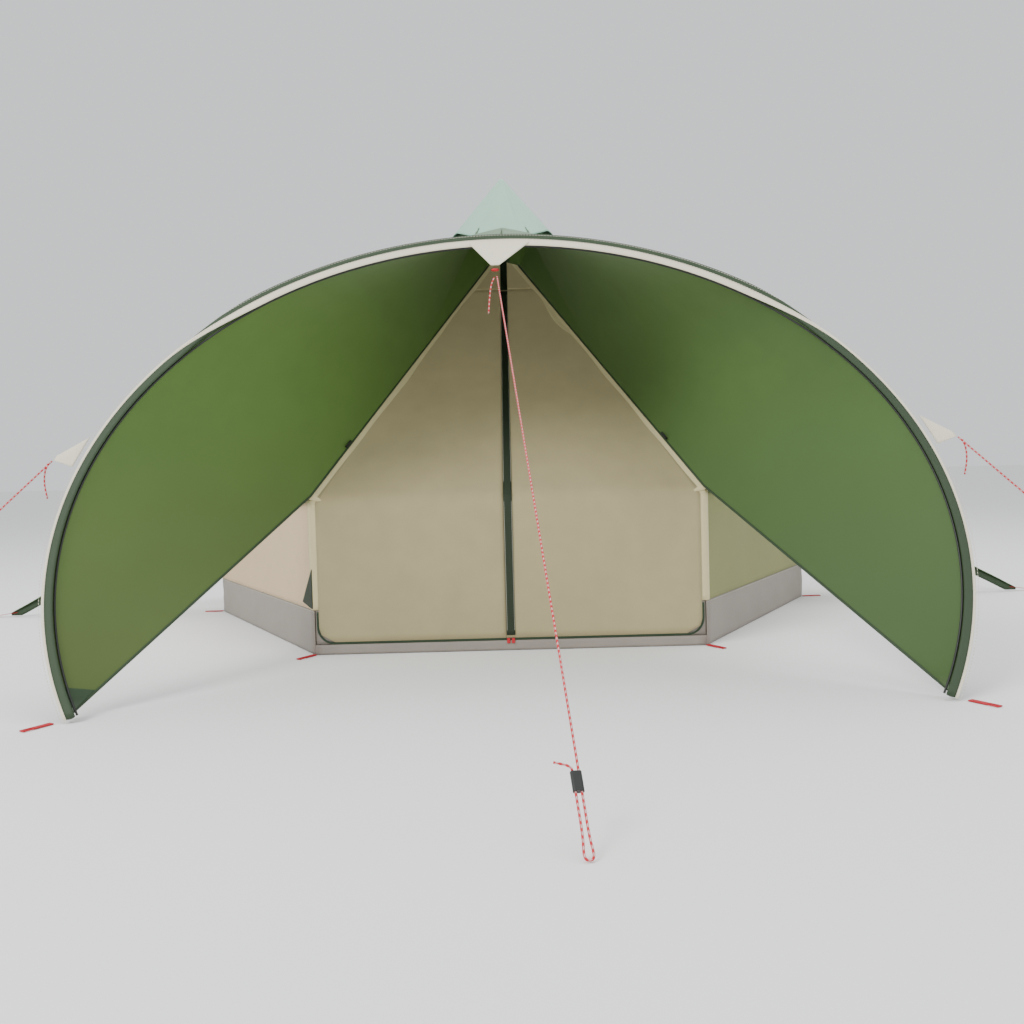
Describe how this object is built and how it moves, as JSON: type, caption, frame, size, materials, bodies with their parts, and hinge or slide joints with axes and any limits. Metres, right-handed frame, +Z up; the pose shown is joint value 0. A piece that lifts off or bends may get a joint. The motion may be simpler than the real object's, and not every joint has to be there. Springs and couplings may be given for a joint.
{
  "type": "teepee tent",
  "caption": "Six-sided teepee tent with a centre pole, fly sheet, arched porch on a bent hoop, zipped double door and guy ropes.",
  "frame": {"origin": "on the ground under the peak, at the centre of the box around the tent without its ropes", "axes": "+Z up; the door and the porch face -Y; +X is on the right when the tent is seen from the front"},
  "size_m": [6.4614, 6.7658, 2.6215],
  "materials": {
    "fly_green": "woven, matt",
    "cap_mint": "coated, satin",
    "cream_cloth": "woven, matt",
    "inner_sand": "woven, matt",
    "band_grey": "coated, matt",
    "trim_green": "webbing, matt",
    "webbing_red": "webbing, matt",
    "guy_rope": "braided",
    "black_plastic": "moulded",
    "fibre_pole": "glass fibre",
    "mast_steel": "galvanised"
  },
  "bodies": {
    "tent": {"fly_roof_right_front": "fly_green", "fly_roof_right_back": "fly_green", "fly_roof_back": "fly_green", "fly_roof_left_back": "fly_green", "fly_roof_left_front": "fly_green", "fly_tail_right": "fly_green", "fly_tail_back_right": "fly_green", "fly_tail_back_left": "fly_green", "fly_tail_left": "fly_green", "porch_wing_left": "fly_green", "porch_wing_right": "fly_green", "fly_cap": "cap_mint", "hoop_binding": "cream_cloth", "beak_patch": "cream_cloth", "side_patch_left": "cream_cloth", "side_patch_right": "cream_cloth", "wall_right_front": "inner_sand", "wall_right_back": "inner_sand", "wall_back": "inner_sand", "wall_left_back": "inner_sand", "wall_left_front": "inner_sand", "inner_roof_right_front": "inner_sand", "inner_roof_right_back": "inner_sand", "inner_roof_back": "inner_sand", "inner_roof_left_back": "inner_sand", "inner_roof_left_front": "inner_sand", "door_head": "inner_sand", "groundsheet": "band_grey", "base_band": "band_grey", "bottom_zip_left": "trim_green", "bottom_zip_right": "trim_green", "hoop_sleeve": "trim_green", "door_toggle_left": "trim_green", "door_toggle_right": "trim_green", "corner_badge": "trim_green", "beak_ring": "webbing_red", "corner_webbing_front_right": "webbing_red", "corner_webbing_right": "webbing_red", "corner_webbing_left": "webbing_red", "corner_webbing_front_left": "webbing_red", "wing_webbing_left": "webbing_red", "wing_webbing_right": "webbing_red", "front_rope_strand": "guy_rope", "front_rope_loop": "guy_rope", "side_rope_left": "guy_rope", "side_rope_right": "guy_rope", "mast_foot": "black_plastic", "mast_plug": "black_plastic", "hoop_pole": "fibre_pole", "mast_lower": "mast_steel", "mast_upper": "mast_steel"},
    "door_left_upper": {"door_left_upper": "inner_sand"},
    "door_left_lower": {"door_left_lower": "inner_sand"},
    "door_right_upper": {"door_right_upper": "inner_sand", "zip_flap_upper": "trim_green"},
    "door_right_lower": {"door_right_lower": "inner_sand", "zip_flap_lower": "trim_green"},
    "zip_pull_left": {"zip_pull_left": "webbing_red"},
    "zip_pull_right": {"zip_pull_right": "webbing_red"},
    "rope_adjuster": {"rope_adjuster": "black_plastic"}
  },
  "joints": [
    {"name": "door_left_turn", "type": "hinge", "parent": "tent", "child": "door_left_upper", "pos_m": [-0.9, -1.55885, 0.71], "axis": [-0.3873, -0.6708, -0.6325], "range_deg": [0, 75]},
    {"name": "door_right_turn", "type": "hinge", "parent": "tent", "child": "door_right_upper", "pos_m": [0.9, -1.55885, 0.71], "axis": [-0.3873, 0.6708, 0.6325], "range_deg": [0, 75]},
    {"name": "door_left_swing", "type": "hinge", "parent": "door_left_upper", "child": "door_left_lower", "pos_m": [-0.455, -1.5603, 0.71], "axis": [-1, 0, 0], "range_deg": [0, 60]},
    {"name": "door_right_swing", "type": "hinge", "parent": "door_right_upper", "child": "door_right_lower", "pos_m": [0.455, -1.5603, 0.71], "axis": [-1, 0, 0], "range_deg": [0, 60]},
    {"name": "zip_left_slide", "type": "slide", "parent": "tent", "child": "zip_pull_left", "axis": [-1, 0, 0], "range_m": [0, 0.78]},
    {"name": "zip_right_slide", "type": "slide", "parent": "tent", "child": "zip_pull_right", "axis": [1, 0, 0], "range_m": [0, 0.78]},
    {"name": "adjuster_slide", "type": "slide", "parent": "tent", "child": "rope_adjuster", "axis": [-0.0787, 0.7578, 0.6477], "range_m": [0, 0.3]}
  ]
}
